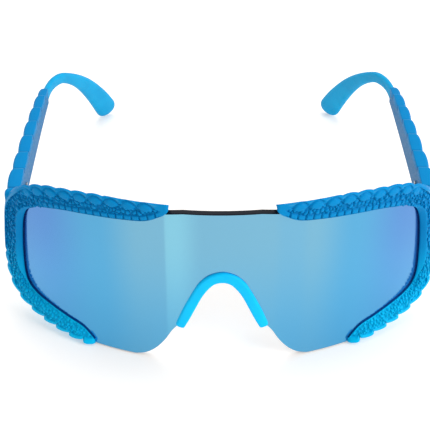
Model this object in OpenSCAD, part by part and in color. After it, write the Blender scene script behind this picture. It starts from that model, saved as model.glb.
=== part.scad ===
// Wraparound sport sunglasses: one shield lens between two C-shaped rims, a rubber nose saddle and
// two folding temples. +Z is up, the lens faces -Y, and +X is the wearer's left. The glasses stand
// on the lens and on the ear tips, at Z = 0, and the origin is under the middle of their outline.

/* [Overall] */
// Front of the rims to the back of the ear tips
depth = 163.3; // [162:0.1:165]

/* [Lens] */
// Radius of the front surface of the lens
lens_r = 100; // [98:0.5:104]
// Thickness of the lens
lens_t = 2.0; // [1.6:0.1:2.4]
// Height of the top edge of the lens at the middle
lens_top = 60.2; // [59:0.1:61]

/* [Rims] */
// How far the rims stand in front of the lens
rim_proud = 3.0; // [2:0.1:3.4]
// Wall of the rims behind the lens
rim_back = 1.8; // [1.6:0.1:2.4]
// How much narrower the rims are at their back, as a share of their width
rim_inset = 0.62; // [0.5:0.01:0.65]

/* [Nose saddle] */
// How far the saddle stands in front of the lens
saddle_proud = 1.0; // [0.6:0.1:1.6]
// Wall of the saddle behind the lens
saddle_back = 1.8; // [1.2:0.1:2.4]
// Length of the pads behind the lens
pad_len = 10; // [8:0.5:12]

/* [Temples] */
// Lower edge of the temples
arm_low = 39.6; // [38:0.1:40]
// Upper edge of the temples at the rim, without the scales' steps
arm_high = 50.2; // [50:0.1:51]
// Width of the temple at the rim, without the scales' steps
arm_w = 4.0; // [3.8:0.1:4.6]
// Width of the temple at its last scale
arm_end_w = 2.4; // [2.2:0.1:3]
// Thickness of the inner arm at the rim
core_w = 2.3; // [2.2:0.1:2.4]
// Thickness of the scale cover on top of the inner arm
cap_t = 1.6; // [1.2:0.1:2]
// Length of each scale but the last
scale_pitch = 11.3; // [10.5:0.1:11.5]
// Length of the last scale
last_scale = 8.4; // [8:0.1:9]
// Height of the step at the free end of a scale
scale_step = 0.8; // [0.4:0.1:1]

/* [Hinges] */
// Distance of each hinge pin from the middle
hinge_x = 64.1; // [63.5:0.1:64.5]
// Distance of the hinge pins behind the front of the rims
hinge_d = 33.45; // [33.3:0.05:33.8]
// Distance of the seam between rim and temple behind the front of the rims
seam_d = 30.5; // [30:0.1:31]
// Radius of the hinge knuckles
knuckle_r = 1.6; // [1.4:0.05:1.6]
// Thickness of the hinge leaves
leaf_t = 1.0; // [0.8:0.1:1]
// Radius of the hinge pins
pin_r = 0.7; // [0.6:0.05:0.8]
// Radial clearance between a pin and its knuckles
pin_clear = 0.05; // [0.03:0.01:0.08]

/* [Hidden] */
$fn = 64;
LEFT = 1;
RIGHT = -1;

front_y = -depth / 2;
tip_gap = 16;                                     // half of the gap between the rims' upper tips
rim_top = 65.2;                                   // highest point of the rims
rim_w = 8.0;                                      // width of the rims over the lens, from the front
rim_r = lens_r + rim_proud;
axis_y = front_y + sqrt(rim_r * rim_r - tip_gap * tip_gap);   // upright axis of the lens
lens_back_r = lens_r - lens_t;
rim_back_r = lens_back_r - rim_back;
hinge_y = front_y + hinge_d;
seam_y = front_y + seam_d;
joint_gap = 0.3;                                  // gap between a rim and its temple
leaf_gap = 0.15;                                  // gap around the knuckles
arm_in = hinge_x + knuckle_r + 2 * leaf_gap;      // inner face of the temples
leaf_in = arm_in + 0.6;                           // inner face of the rear leaves
scales = 7;                                       // scales on a temple
arm_len = (scales - 1) * scale_pitch + last_scale;
arm_start_y = seam_y + joint_gap / 2;
arm_end_y = seam_y + arm_len;
arm_drop = [0, 0, 0.7, 1, 2, 3, 4.6, 6.5];        // how much lower the temple is at each scale's end
end_drop = 1.6;                                   // how much lower its lower edge is at the last one
knuckle_z0 = 39.9;
knuckle_h = 2.35;
knuckle_gap = 0.1;
knuckle_top = knuckle_z0 + 3 * knuckle_h + 2 * knuckle_gap;
leaf_mid_z = (knuckle_z0 + knuckle_top) / 2;
rear_leaf_len = 10.4;
screw_r = 0.6;
screw_head_r = 0.95;
screw_head_t = 0.5;
screw_bite = 1.6;                                 // how far a front leaf's screws go into the rim
spot_face = 0.2;                                  // how deep their heads sit in the leaf
rear_screws_d = [4.2, 8.8];                       // along Y from the hinge pin
strap_t = 2.1;                                    // thickness of the front leaf
strap_screws = [[61.6, 49.6], [67.1, 35.8]];      // on the back of the rim, as X and Z
pin_head_r = 1.2;
pin_head_t = 0.5;

// The rim as [outer edge, inner edge] pairs, as seen from the front, from the upper tip to the lower
rim_pairs = [
    [[16, 64.8], [16.3, 62]],
    [[19.5, 65.1], [18.6, 60]],
    [[24.5, 65.1], [23.4, 57.6]],
    [[32, 64.9], [31, 56.7]],
    [[41, 64.2], [40, 55.9]],
    [[50, 62.9], [48.5, 54.8]],
    [[57.5, 61], [54.6, 53.2]],
    [[63.3, 57.3], [59.4, 51]],
    [[68, 52], [62.4, 47.9]],
    [[70.9, 45.8], [64.4, 43.2]],
    [[72.2, 37], [65.5, 36.5]],
    [[73.1, 27.5], [66.3, 27.5]],
    [[73.3, 19], [66.5, 19.4]],
    [[72, 12.3], [65.4, 14.6]],
    [[68.6, 7.5], [62.6, 12]],
    [[62.5, 4.2], [58.3, 10.2]],
    [[55.5, 2.2], [52, 8]],
    [[49, 0.9], [46.6, 6]],
    [[42.6, 0.4], [42.8, 1.9]]
];
rim_groove = 0.28;                                // depth of the lens groove, as a share of the rim
groove_first = 2;                                 // pairs between which the lens edge is in the groove
groove_last = 17;

// The saddle as [outer edge, inner edge] pairs, from its left foot to the middle
saddle_pairs = [
    [[15.2, 15.4], [12.4, 14.5]],
    [[12.9, 21.8], [10.3, 19]],
    [[10.8, 26.7], [8.2, 24]],
    [[9, 30.5], [6.2, 28.5]],
    [[7.2, 33.7], [4.2, 31.6]],
    [[4.2, 36.6], [2.3, 33.5]],
    [[0, 37.9], [0, 34.1]]
];
saddle_grip = 0.3;                                // share of the saddle's width that covers the lens

function lerp(a, b, t) = a + (b - a) * t;
function flip(points) = [for (i = [len(points) - 1:-1:0]) points[i]];
function mirrored(points) = [for (p = flip(points)) [-p[0], p[1]]];

// A smooth curve through the points, with n steps between each two
function clamped(points, i) = points[max(0, min(len(points) - 1, i))];
function spline_point(a, b, c, d, t) =
    0.5 * (2 * b + (c - a) * t + (2 * a - 5 * b + 4 * c - d) * t * t
    + (3 * b - a - 3 * c + d) * t * t * t);
function smooth(points, n = 3) = concat(
    [for (i = [0:len(points) - 2], k = [0:n - 1])
        spline_point(clamped(points, i - 1), points[i], points[i + 1], clamped(points, i + 2), k / n)],
    [points[len(points) - 1]]
);
function across(pairs, t) = [for (p = pairs) lerp(p[0], p[1], t)];

rim_edge = across(rim_pairs, 1 - rim_groove);
notch = across(saddle_pairs, saddle_grip);
half_lens = concat(
    [[0, lens_top], [12, lens_top], [17, lens_top - 0.6]],
    smooth([for (i = [groove_first:groove_last]) rim_edge[i]]),
    [[45, 0.9], [42.5, 0]],
    smooth([[28.6, 0], [25.3, 1.2], [22, 3.8], [18.8, 8], [16.4, 12.4], notch[0]], 2),
    [for (i = [2:2 * (len(notch) - 1)]) smooth(notch, 2)[i]]
);

module side(s) {
    mirror([s < 0 ? 1 : 0, 0, 0]) children();
}

// A front view outline, made solid through the front part of the glasses
module front_prism(points) {
    translate([0, front_y + 60, 0]) rotate([90, 0, 0]) linear_extrude(62) polygon(points);
}

// A wall between two radii about the lens axis
module wall(inner, outer) {
    translate([0, axis_y, -5]) difference() {
        cylinder(h = 80, r = outer, $fn = 180);
        translate([0, 0, -1]) cylinder(h = 82, r = inner, $fn = 180);
    }
}

module lens_shape() {
    intersection() {
        wall(lens_back_r, lens_r);
        front_prism(concat(half_lens, [for (p = flip(half_lens)) if (p[0] > 0) [-p[0], p[1]]]));
    }
}

module lens() {
    color([0.35, 0.67, 0.87]) lens_shape();
}

// The stub behind the corner of the rim that continues the temple, with one scale
module rim_stub() {
    stub_y = seam_y - 3;
    outer = arm_in + arm_w;
    rear = seam_y - joint_gap / 2;
    intersection() {
        linear_extrude(80) polygon([
            [arm_in, stub_y], [outer, stub_y], [outer + scale_step, rear], [arm_in, rear]
        ]);
        side_prism([
            [stub_y, arm_low], [stub_y, arm_high], [rear, arm_high + scale_step], [rear, arm_low]
        ]);
    }
}

// The room behind the stub for the front end of the temple
module temple_room() {
    translate([arm_in - joint_gap, seam_y - joint_gap / 2, arm_low - joint_gap])
        cube([20, 40, arm_high + scale_step + 2 * joint_gap - arm_low]);
}

// One layer of the rim, from its inner edge to within an inset share of its outer edge. The top
// gets lower by the same inset towards the back.
module rim_layer(inner_r, outer_r, inset) {
    intersection() {
        wall(inner_r, outer_r);
        translate([0, front_y - 1, -1]) cube([90, 70, rim_top + 1 - inset * rim_w]);
        front_prism(concat(smooth(across(rim_pairs, inset)), flip(smooth(across(rim_pairs, 1)))));
    }
}

module rim_body() {
    layers = 4;
    layer_t = (rim_r - rim_back_r) / layers;
    for (i = [0:layers - 1])
        rim_layer(rim_back_r + i * layer_t, rim_back_r + (i + 1) * layer_t + (i == layers - 1 ? 0 : 0.2),
            rim_inset * (layers - 1 - i) / (layers - 1));
}

module rim() {
    difference() {
        union() {
            difference() {
                rim_body();
                temple_room();
            }
            rim_stub();
        }
        lens_shape();
        strap_screw_shanks();
    }
}

module rim_left() {
    color([0, 0.5, 0.75]) side(LEFT) rim();
}

module rim_right() {
    color([0, 0.5, 0.75]) side(RIGHT) rim();
}

// A rubber saddle that grips the edge of the lens's notch, with a pad on each side of the nose
module nose_saddle() {
    outer = smooth(across(saddle_pairs, 0), 2);
    inner = smooth(across(saddle_pairs, 1), 2);
    pad_pairs = [for (i = [0:3]) saddle_pairs[i]];
    pad_outer = smooth(across(pad_pairs, 0.45), 2);
    pad_inner = smooth(across(pad_pairs, 1), 2);
    color([0, 0.72, 0.96]) difference() {
        union() {
            intersection() {
                wall(lens_back_r - saddle_back, lens_r + saddle_proud);
                front_prism(concat(outer, mirrored([for (p = outer) if (p[0] > 0) p]),
                    flip(mirrored(inner)), [for (p = flip(inner)) if (p[0] > 0) p]));
            }
            for (s = [LEFT, RIGHT]) side(s) intersection() {
                wall(lens_back_r - pad_len, lens_back_r - saddle_back + 0.5);
                front_prism(concat(pad_outer, flip(pad_inner)));
            }
        }
        lens_shape();
    }
}

// Places a part on the back of the rim at [X, Z], with +Z pointing to the front
module on_rim_back(at) {
    translate([0, axis_y, at[1]]) rotate([0, 0, asin(at[0] / rim_back_r)]) rotate([90, 0, 0])
        translate([0, 0, rim_back_r - strap_t]) children();
}

module strap_screw_shanks() {
    for (at = strap_screws) on_rim_back(at) cylinder(h = strap_t + screw_bite, r = screw_r);
}

module strap_screw_heads() {
    for (at = strap_screws) on_rim_back(at) translate([0, 0, spot_face - screw_head_t])
        cylinder(h = screw_head_t, r = screw_head_r);
}

module front_leaf_screws() {
    strap_screw_shanks();
    difference() {
        strap_screw_heads();
        for (at = strap_screws) on_rim_back(at) translate([-2, -0.15, -screw_head_t]) cube([4, 0.3, 0.45]);
    }
}

// Knuckle number i of three, from the bottom
module knuckle(i) {
    translate([hinge_x, hinge_y, knuckle_z0 + i * (knuckle_h + knuckle_gap)])
        cylinder(h = knuckle_h, r = knuckle_r);
}

// The room that knuckle number i needs in the other leaf
module knuckle_room(i) {
    translate([hinge_x, hinge_y, knuckle_z0 + i * (knuckle_h + knuckle_gap) - knuckle_gap])
        cylinder(h = knuckle_h + 2 * knuckle_gap, r = knuckle_r + leaf_gap);
}

module pin_head_room() {
    translate([hinge_x, hinge_y, knuckle_top]) cylinder(h = 10, r = pin_head_r + leaf_gap);
}

module pin_bore() {
    translate([hinge_x, hinge_y, knuckle_z0 - 1]) cylinder(h = 12, r = pin_r + pin_clear);
}

// A strap on the back of the rim's upper corner, with the two outer knuckles on it
module front_leaf() {
    difference() {
        union() {
            difference() {
                intersection() {
                    wall(rim_back_r - strap_t, rim_back_r);
                    front_prism([
                        [61, arm_low], [60.4, 49.8], [61.2, 51], [62.2, 50.8], [64, 48.2],
                        [arm_in - joint_gap, 48.2], [arm_in - joint_gap, 39.2],
                        [68.3, 39.2], [68.3, 34.4], [66, 34.4], [64.6, 38]
                    ]);
                }
                translate([hinge_x, hinge_y - 0.3, arm_low - joint_gap]) cube([10, 10, 20]);
                knuckle_room(1);
                pin_head_room();
            }
            knuckle(0);
            knuckle(2);
        }
        pin_bore();
        strap_screw_shanks();
        strap_screw_heads();
    }
}

// A leaf moulded into the arm, with the middle knuckle on it
module rear_leaf_shape() {
    translate([leaf_in, hinge_y + leaf_gap, knuckle_z0])
        cube([leaf_t, rear_leaf_len, knuckle_top - knuckle_z0]);
    translate([hinge_x, hinge_y + leaf_gap, knuckle_z0 + knuckle_h + knuckle_gap])
        cube([leaf_in - hinge_x + 0.1, 1.3, knuckle_h]);
}

module rear_leaf() {
    difference() {
        union() {
            rear_leaf_shape();
            knuckle(1);
        }
        pin_bore();
        rear_screw_shanks();
    }
}

module front_leaf_left() {
    color([0.75, 0.76, 0.78]) side(LEFT) front_leaf();
}

module front_leaf_right() {
    color([0.75, 0.76, 0.78]) side(RIGHT) front_leaf();
}

module rear_leaf_left() {
    color([0.75, 0.76, 0.78]) side(LEFT) rear_leaf();
}

module rear_leaf_right() {
    color([0.75, 0.76, 0.78]) side(RIGHT) rear_leaf();
}

module rear_screw_shanks() {
    for (d = rear_screws_d) translate([arm_in, hinge_y + d, leaf_mid_z]) rotate([0, 90, 0])
        cylinder(h = core_w - 0.3, r = screw_r);
}

module rear_leaf_screws() {
    rear_screw_shanks();
    for (d = rear_screws_d) translate([arm_in - screw_head_t, hinge_y + d, leaf_mid_z]) difference() {
        rotate([0, 90, 0]) cylinder(h = screw_head_t, r = screw_head_r);
        translate([-0.1, -2, -0.15]) cube([0.35, 4, 0.3]);
    }
}

module front_leaf_screws_left() {
    color([0.75, 0.76, 0.78]) side(LEFT) front_leaf_screws();
}

module front_leaf_screws_right() {
    color([0.75, 0.76, 0.78]) side(RIGHT) front_leaf_screws();
}

module rear_leaf_screws_left() {
    color([0.75, 0.76, 0.78]) side(LEFT) rear_leaf_screws();
}

module rear_leaf_screws_right() {
    color([0.75, 0.76, 0.78]) side(RIGHT) rear_leaf_screws();
}

// A screw that is the hinge pin, with a slotted head on the top knuckle
module hinge_pin() {
    translate([hinge_x, hinge_y, 0]) difference() {
        union() {
            translate([0, 0, knuckle_z0]) cylinder(h = knuckle_top - knuckle_z0, r = pin_r);
            translate([0, 0, knuckle_top]) cylinder(h = pin_head_t, r = pin_head_r);
        }
        translate([-2, -0.2, knuckle_top + pin_head_t - 0.25]) cube([4, 0.4, 1]);
    }
}

module hinge_pin_left() {
    color([0.8, 0.81, 0.83]) side(LEFT) hinge_pin();
}

module hinge_pin_right() {
    color([0.8, 0.81, 0.83]) side(RIGHT) hinge_pin();
}

// A side view outline, as [Y, Z] points, made solid across one temple
module side_prism(points) {
    translate([hinge_x - 4, 0, 0]) rotate([90, 0, 90]) linear_extrude(16) polygon(points);
}

function scale_y(i) = i == scales ? arm_end_y : seam_y + i * scale_pitch;
function arm_top(i) = arm_high - arm_drop[i];
function arm_bottom(t) = arm_low - end_drop * pow(t, 3);
arm_bottom_points = [for (i = [scales:-1:0])
    [i == 0 ? arm_start_y : scale_y(i), arm_bottom(i / scales)]];

module arm_outline() {
    top = [for (i = [0:scales]) [i == 0 ? arm_start_y : scale_y(i), arm_top(i) - cap_t]];
    intersection() {
        side_prism(concat(top, arm_bottom_points));
        linear_extrude(80) polygon([
            [arm_in, arm_start_y], [arm_in + core_w, arm_start_y],
            [arm_in + core_w - 0.6, arm_end_y], [arm_in, arm_end_y]
        ]);
    }
}

// The smooth inner arm, with a tongue that holds the ear tip
module arm() {
    difference() {
        union() {
            arm_outline();
            tongue();
        }
        rear_leaf_shape();
        rear_screw_shanks();
    }
}

module tongue() {
    translate([arm_in + 0.7, arm_end_y - 2, tip_path[0][2] - 1.6]) rotate([0, 0, 4])
        cube([1.1, 12, 3.2]);
}

// The cover on the top and the outside of the arm, one step for each overlapping scale
module scale_cover() {
    top = [for (i = [0:scales - 1], k = [0, 1])
        [k == 0 && i == 0 ? arm_start_y : scale_y(i + k), arm_top(i + k) + k * scale_step]];
    outer = [for (i = [0:scales - 1], k = [0, 1])
        [arm_in + lerp(arm_w, arm_end_w, (i + k) / scales) + k * scale_step,
            k == 0 && i == 0 ? arm_start_y : scale_y(i + k)]];
    difference() {
        intersection() {
            side_prism(concat(top, arm_bottom_points));
            linear_extrude(80) polygon(concat(outer, [[arm_in, arm_end_y], [arm_in, arm_start_y]]));
        }
        arm_outline();
    }
}

module arm_left() {
    color([0.27, 0.51, 0.72]) side(LEFT) arm();
}

module arm_right() {
    color([0.27, 0.51, 0.72]) side(RIGHT) arm();
}

module scale_cover_left() {
    color([0, 0.55, 0.84]) side(LEFT) scale_cover();
}

module scale_cover_right() {
    color([0, 0.55, 0.84]) side(RIGHT) scale_cover();
}

// The ear tip is an oval section swept along a smooth path that bends down and in. Each point is
// [X, distance behind the end of the arm, Z]
tip_points = [
    [67.3, 0, 40.4], [66.7, 7, 40.2], [65.3, 14, 39.3], [62.9, 21, 37.2], [59.2, 29.8, 31.4],
    [55.8, 38, 23.9], [52.4, 46.2, 14.1], [49.8, 52.6, 5.05], [48.6, 55.2, 0.75]
];
tip_path = [for (p = smooth(tip_points, 3)) [p[0], p[1] + arm_end_y, p[2]]];
tip_rings = len(tip_path) - 1;
tip_sides = 20;
tip_turn = 30;                                    // how far the section turns about the path

function unit(v) = v / norm(v);
function tip_along(i) = unit(clamped(tip_path, i + 1) - clamped(tip_path, i - 1));
function tip_across(i) = unit(cross(tip_along(i), [0, 0, 1]));
function tip_up(i) = cross(tip_across(i), tip_along(i));
function ease(t) = let (u = max(0, min(1, t))) u * u * (3 - 2 * u);
function tip_angle(i) = tip_turn * ease((i / tip_rings - 0.25) / 0.6);
function tip_flat(i) = tip_across(i) * cos(tip_angle(i)) + tip_up(i) * sin(tip_angle(i));
function tip_wide(i) = tip_up(i) * cos(tip_angle(i)) - tip_across(i) * sin(tip_angle(i));
function tip_round(t) = t < 0.86 ? 1 : sqrt(max(0.03, 1 - pow((t - 0.86) / 0.14, 2)));
function tip_half_w(t) = lerp(2.1, 4.7, ease((t - 0.36) / 0.54)) * tip_round(t);
function tip_half_t(t) = lerp(1.2, 1.9, ease(t / 0.8)) * tip_round(t);
function oval(a, n) = [sign(cos(a)) * pow(abs(cos(a)), n), sign(sin(a)) * pow(abs(sin(a)), n)];
function tip_ring(i) = [for (k = [0:tip_sides - 1])
    let (t = i / tip_rings, o = oval(360 * k / tip_sides, 0.75))
    tip_path[i] + tip_flat(i) * o[0] * tip_half_t(t) + tip_wide(i) * o[1] * tip_half_w(t)];

module ear_tip() {
    rings = [for (i = [0:tip_rings]) each tip_ring(i)];
    n = tip_sides;
    walls = [for (i = [0:tip_rings - 1], k = [0:n - 1])
        each let (a = i * n + k, b = i * n + (k + 1) % n) [[a, a + n, b], [b, a + n, b + n]]];
    ends = [[for (k = [0:n - 1]) k], [for (k = [n - 1:-1:0]) tip_rings * n + k]];
    difference() {
        polyhedron(points = rings, faces = concat(walls, ends));
        tongue();
        translate([arm_in - 3, arm_end_y - 6, 30]) cube([9, 6, 20]);
    }
}

module ear_tip_left() {
    color([0, 0.64, 0.88]) side(LEFT) ear_tip();
}

module ear_tip_right() {
    color([0, 0.64, 0.88]) side(RIGHT) ear_tip();
}

lens();
rim_left();
rim_right();
nose_saddle();
front_leaf_left();
front_leaf_right();
front_leaf_screws_left();
front_leaf_screws_right();
hinge_pin_left();
hinge_pin_right();
rear_leaf_left();
rear_leaf_right();
rear_leaf_screws_left();
rear_leaf_screws_right();
arm_left();
arm_right();
scale_cover_left();
scale_cover_right();
ear_tip_left();
ear_tip_right();
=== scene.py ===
"""Wraparound sport sunglasses: the looks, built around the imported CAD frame.

Lengths are in millimetres up to the point where a mesh is made, and in metres from there on.
"Left" is the wearer's left, at +X. Everything is made for the left and mirrored for the right.
"""
import math
import bisect

import bmesh
import bpy
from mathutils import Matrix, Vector, noise


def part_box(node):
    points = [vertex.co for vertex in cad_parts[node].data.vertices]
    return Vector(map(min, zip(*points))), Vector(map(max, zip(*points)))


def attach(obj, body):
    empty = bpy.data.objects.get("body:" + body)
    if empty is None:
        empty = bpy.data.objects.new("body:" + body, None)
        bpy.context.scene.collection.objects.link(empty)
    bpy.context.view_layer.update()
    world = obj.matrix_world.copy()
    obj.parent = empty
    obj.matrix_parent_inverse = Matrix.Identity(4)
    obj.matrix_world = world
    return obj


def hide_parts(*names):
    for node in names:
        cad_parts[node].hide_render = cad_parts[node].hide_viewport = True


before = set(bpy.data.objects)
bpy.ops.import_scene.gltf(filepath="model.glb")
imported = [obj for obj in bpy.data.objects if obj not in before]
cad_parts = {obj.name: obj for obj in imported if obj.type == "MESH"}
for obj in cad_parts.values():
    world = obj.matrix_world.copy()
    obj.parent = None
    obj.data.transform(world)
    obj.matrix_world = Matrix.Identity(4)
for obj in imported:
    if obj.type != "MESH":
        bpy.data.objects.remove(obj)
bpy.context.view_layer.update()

MM = 0.001
SIDES = {"left": 1, "right": -1}


# ---------------------------------------------------------------- sizes, from the frame

def box_mm(node):
    low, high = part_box(node)
    return Vector(low) / MM, Vector(high) / MM


RIM_LOW, RIM_HIGH = box_mm("rim_left")
COVER_LOW, COVER_HIGH = box_mm("scale_cover_left")

FRONT_Y = RIM_LOW.y
RIM_R = 103.0                       # front of the rims, about the lens's upright axis
RIM_BACK_R = 96.2
LENS_R = 100.0
LENS_BACK_R = 98.0
AXIS_Y = FRONT_Y + math.sqrt(RIM_R ** 2 - RIM_LOW.x ** 2)
SEAM_Y = COVER_LOW.y                # front end of the temples
ARM_IN = COVER_LOW.x                # inner face of the temples
ARM_END_Y = COVER_HIGH.y
SEAM_GAP = 0.3

# The rim as [outer edge, inner edge] pairs of (X, Z), from the upper tip to the lower
RIM_PAIRS = [
    [(16, 64.8), (16.3, 62)],
    [(19.5, 65.1), (18.6, 60)],
    [(24.5, 65.1), (23.4, 57.6)],
    [(32, 64.9), (31, 56.7)],
    [(41, 64.2), (40, 55.9)],
    [(50, 62.9), (48.5, 54.8)],
    [(57.5, 61), (54.6, 53.2)],
    [(63.3, 57.3), (59.4, 51)],
    [(68, 52), (62.4, 47.9)],
    [(70.9, 45.8), (64.4, 43.2)],
    [(72.2, 37), (65.5, 36.5)],
    [(73.1, 27.5), (66.3, 27.5)],
    [(73.3, 19), (66.5, 19.4)],
    [(72, 12.3), (65.4, 14.6)],
    [(68.6, 7.5), (62.6, 12)],
    [(62.5, 4.2), (58.3, 10.2)],
    [(55.5, 2.2), (52, 8)],
    [(49, 0.9), (46.6, 6)],
    [(42.6, 0.4), (42.8, 1.9)],
]

# The saddle in the same way, from its foot to the middle
SADDLE_PAIRS = [
    [(15.2, 15.4), (12.4, 14.5)],
    [(12.9, 21.8), (10.3, 19)],
    [(10.8, 26.7), (8.2, 24)],
    [(9, 30.5), (6.2, 28.5)],
    [(7.2, 33.7), (4.2, 31.6)],
    [(4.2, 36.6), (2.3, 33.5)],
    [(0, 37.9), (0, 34.1)],
]


# ---------------------------------------------------------------- curves and meshes

def lerp(a, b, t):
    return a + (b - a) * t


def ramp(x, low, high):
    """0 below low, 1 above high, and smooth between."""
    t = min(1.0, max(0.0, (x - low) / (high - low)))
    return t * t * (3 - 2 * t)


def quarter_round(distance, radius):
    """How far a rounded edge falls below its face, at a distance in from the edge."""
    if distance >= radius:
        return 0.0
    k = (radius - max(0.0, distance)) / radius
    return radius * (1 - math.sqrt(max(0.0, 1 - k * k)))


def spline(points, i, t):
    """A point on the smooth curve through points, t of the way from point i to the next."""
    last = len(points) - 1
    a = points[max(0, i - 1)]
    b = points[i]
    c = points[min(last, i + 1)]
    d = points[min(last, i + 2)]
    return 0.5 * (2 * b + (c - a) * t + (2 * a - 5 * b + 4 * c - d) * t * t
                  + (3 * b - a - 3 * c + d) * t * t * t)


def unroll(p):
    """A front view point laid flat, as lengths along the curved surface."""
    return Vector((RIM_R * math.asin(p.x / RIM_R), p.y))


def wrap(p, radius):
    """The point on the cylinder of that radius that is seen at p from the front."""
    return Vector((p.x, AXIS_Y - math.sqrt(radius ** 2 - p.x ** 2), p.y))


def stations(pairs, spacing):
    """Stops along a band: outer point, inner point, width and distance from the start."""
    outer = [Vector(p[0]) for p in pairs]
    inner = [Vector(p[1]) for p in pairs]
    stops = []
    for i in range(len(pairs) - 1):
        longest = max((outer[i + 1] - outer[i]).length, (inner[i + 1] - inner[i]).length)
        steps = max(1, math.ceil(longest / spacing))
        for k in range(steps):
            stops.append((spline(outer, i, k / steps), spline(inner, i, k / steps)))
    stops.append((outer[-1], inner[-1]))
    result = []
    along = 0.0
    for n, (o, i) in enumerate(stops):
        middle = (unroll(o) + unroll(i)) / 2
        if n:
            along += (middle - before).length
        before = middle
        result.append((o, i, (unroll(o) - unroll(i)).length, along))
    return result


class Shell:
    """Collects rings of points into one mesh. Each face may have a material number. Each point
    has a relief value for painted light and shade: 0 in the grooves, where the painted shade is
    darkest, 1 on top, and over 1 where a painted highlight makes the paint pale."""

    def __init__(self):
        self.points = []
        self.relief = []
        self.faces = []
        self.material = []

    def tube(self, rings, relief=None, material=None):
        """Joins rings with the same number of points, and closes both ends. relief has a value
        for every point, and material one for each place round the ring."""
        first = len(self.points)
        n = len(rings[0])
        for r, ring in enumerate(rings):
            self.points.extend(ring)
            self.relief.extend(relief[r] if relief else [1.0] * n)
        for r in range(len(rings) - 1):
            for k in range(n):
                a = first + r * n + k
                b = first + r * n + (k + 1) % n
                self.faces.append((a, b, b + n, a + n))
                self.material.append(material[k] if material else 0)
        last = first + (len(rings) - 1) * n
        self.faces.append(tuple(first + k for k in range(n - 1, -1, -1)))
        self.faces.append(tuple(last + k for k in range(n)))
        self.material.extend([0, 0])

    def make(self, name, side, materials, crease=None):
        """An object in metres. side is 1 as the points are, and -1 mirrored. crease is the
        angle in degrees above which an edge is sharp."""
        mesh = bpy.data.meshes.new(name)
        points = [(p.x * side * MM, p.y * MM, p.z * MM) for p in self.points]
        faces = [f if side > 0 else tuple(reversed(f)) for f in self.faces]
        mesh.from_pydata(points, [], faces)
        for m in materials:
            mesh.materials.append(m)
        mesh.polygons.foreach_set("material_index", self.material)
        mesh.polygons.foreach_set("use_smooth", [True] * len(self.faces))
        layer = mesh.attributes.new("relief", "FLOAT", "POINT")
        layer.data.foreach_set("value", self.relief)
        mesh.validate()
        mesh.update()
        thing = bpy.data.objects.new(name, mesh)
        bpy.context.scene.collection.objects.link(thing)
        outward(thing)
        if crease:
            mesh.set_sharp_from_angle(angle=math.radians(crease))
        return thing


def outward(thing):
    """Turns the faces so that they all point out."""
    bm = bmesh.new()
    bm.from_mesh(thing.data)
    bmesh.ops.recalc_face_normals(bm, faces=bm.faces)
    bm.to_mesh(thing.data)
    bm.free()


# ---------------------------------------------------------------- materials

def new_material(name):
    m = bpy.data.materials.new(name)
    m.use_nodes = True
    return m, m.node_tree.nodes, m.node_tree.links, m.node_tree.nodes["Principled BSDF"]


def object_position(nodes, links):
    """The position in the object in metres, as one socket and as X, Y and Z sockets."""
    where = nodes.new("ShaderNodeTexCoord")
    parts = nodes.new("ShaderNodeSeparateXYZ")
    links.new(where.outputs["Object"], parts.inputs[0])
    return where.outputs["Object"], parts.outputs


def map_range(nodes, links, value, low, high, to_low=0.0, to_high=1.0):
    """Maps low to high onto to_low to to_high, smoothly and without going past either."""
    n = nodes.new("ShaderNodeMapRange")
    n.interpolation_type = "SMOOTHSTEP"
    links.new(value, n.inputs["Value"])
    n.inputs["From Min"].default_value = low
    n.inputs["From Max"].default_value = high
    n.inputs["To Min"].default_value = to_low
    n.inputs["To Max"].default_value = to_high
    return n.outputs["Result"]


def color_ramp(nodes, links, value, stops):
    """A colour from value, between stops of (value, colour)."""
    n = nodes.new("ShaderNodeValToRGB")
    links.new(value, n.inputs["Fac"])
    line = n.color_ramp
    line.interpolation = "EASE"
    while len(line.elements) < len(stops):
        line.elements.new(0.5)
    for element, (at, color) in zip(line.elements, stops):
        element.position = at
        element.color = (*color, 1.0)
    return n.outputs["Color"]


def mix(nodes, links, kind, share, a, b):
    """Mixes two colours. share, a and b are sockets or plain values."""
    n = nodes.new("ShaderNodeMix")
    n.data_type = "RGBA"
    n.blend_type = kind
    for socket, value in ((n.inputs[0], share), (n.inputs[6], a), (n.inputs[7], b)):
        if isinstance(value, bpy.types.NodeSocket):
            links.new(value, socket)
        elif isinstance(value, tuple):
            socket.default_value = (*value, 1.0)
        else:
            socket.default_value = value
    return n.outputs[2]


def noise_value(nodes, links, position, per_mm, detail=3.0):
    """Soft noise with about per_mm patches in a millimetre."""
    n = nodes.new("ShaderNodeTexNoise")
    links.new(position, n.inputs["Vector"])
    n.inputs["Scale"].default_value = per_mm / MM
    n.inputs["Detail"].default_value = detail
    return n.outputs["Fac"]


def bump(nodes, links, shader, height, distance, strength):
    """Small relief in the shading only. distance is in millimetres."""
    n = nodes.new("ShaderNodeBump")
    n.inputs["Distance"].default_value = distance * MM
    n.inputs["Strength"].default_value = strength
    links.new(height, n.inputs["Height"])
    links.new(n.outputs["Normal"], shader.inputs["Normal"])


PATCH_TINT = (0.6, 0.75, 0.85)      # multiplies the paint in faint patches
GROOVE_SHADE_TINT = (0.1, 0.42, 0.55)     # painted shade: multiplies it in the grooves
PAINTED_HIGHLIGHT = (0.12, 0.45, 0.68)     # painted highlight: the paler colour on crests and raised edges
PAINT_PATCHES = 0.25                # faint patches in a millimetre
RUBBER_PATCHES = 0.12
STEEL_MARKS = 1.6
PAINT_SPECULAR = 0.05
RUBBER_SPECULAR = 0.12


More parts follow.
